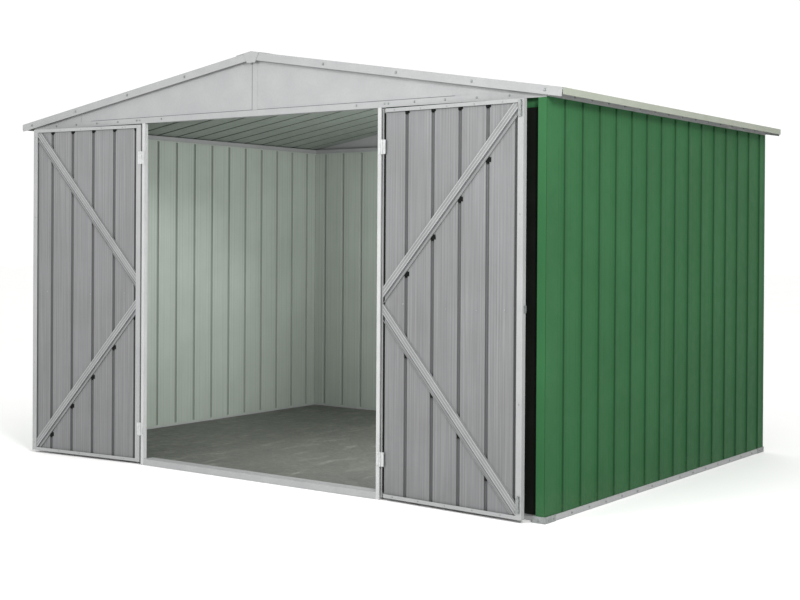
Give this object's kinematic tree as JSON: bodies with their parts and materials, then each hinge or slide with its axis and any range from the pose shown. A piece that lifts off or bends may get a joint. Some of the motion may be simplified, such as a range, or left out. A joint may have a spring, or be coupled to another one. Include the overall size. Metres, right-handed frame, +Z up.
{
  "type": "metal storage shed",
  "caption": "Green ribbed sheet-metal storage shed with a low gable roof, galvanised trims and a pair of hinged doors folded back against the front.",
  "frame": {"origin": "on the ground, at the centre of the wall footprint", "axes": "+X to the right as seen from in front, +Y to the rear (the doorway faces -Y), +Z up"},
  "size_m": [3.2818, 2.4481, 1.9992],
  "materials": {
    "galvanised_steel": "satin galvanised sheet steel",
    "green_coated_steel": "semi-gloss green coil coating outside, pale backing coat inside",
    "dull_zinc_steel": "dull zinc-plated steel",
    "black_rubber": "matte black rubber strip",
    "dark_floor_board": "matte dark grey coated board"
  },
  "bodies": {
    "shed_body": {"floor_board": "dark_floor_board", "base_rail_left": "galvanised_steel", "base_rail_right": "galvanised_steel", "base_rail_rear": "galvanised_steel", "base_rails_front": "galvanised_steel", "door_sill": "galvanised_steel", "corner_brackets": "dull_zinc_steel", "corner_post_left": "green_coated_steel", "corner_post_right": "green_coated_steel", "left_wall": "green_coated_steel", "right_wall": "green_coated_steel", "rear_wall": "green_coated_steel", "front_left_panel": "green_coated_steel", "front_right_panel": "green_coated_steel", "door_buffers": "black_rubber", "left_jamb": "galvanised_steel", "right_jamb": "galvanised_steel", "header_rail": "galvanised_steel", "top_rail_left": "galvanised_steel", "top_rail_right": "galvanised_steel", "top_rail_rear": "galvanised_steel", "front_gable_left": "galvanised_steel", "front_gable_right": "galvanised_steel", "front_gable_ends": "galvanised_steel", "rear_gable": "galvanised_steel", "roof_left": "green_coated_steel", "roof_right": "green_coated_steel", "ridge_cap": "galvanised_steel", "barge_front_left": "galvanised_steel", "barge_front_right": "galvanised_steel", "barges_rear": "galvanised_steel", "eave_trim_left": "galvanised_steel", "eave_trim_right": "galvanised_steel", "jamb_hinge_leaves": "galvanised_steel"},
    "left_door": {"left_door_sheet": "green_coated_steel", "left_door_frame": "galvanised_steel", "left_door_braces": "galvanised_steel", "left_door_hinges": "galvanised_steel", "left_door_latch": "dull_zinc_steel"},
    "right_door": {"right_door_sheet": "green_coated_steel", "right_door_frame": "galvanised_steel", "right_door_braces": "galvanised_steel", "right_door_hinges": "galvanised_steel", "right_door_bolts": "dull_zinc_steel", "right_door_keeper": "dull_zinc_steel"}
  },
  "joints": [
    {"name": "left_door_hinge", "type": "hinge", "parent": "shed_body", "child": "left_door", "pos_m": [-0.745, -1.1825, 0.853], "axis": [0, 0, 1], "range_deg": [0, 174.5]},
    {"name": "right_door_hinge", "type": "hinge", "parent": "shed_body", "child": "right_door", "pos_m": [0.745, -1.1825, 0.853], "axis": [0, 0, 1], "range_deg": [-176, 0]}
  ]
}
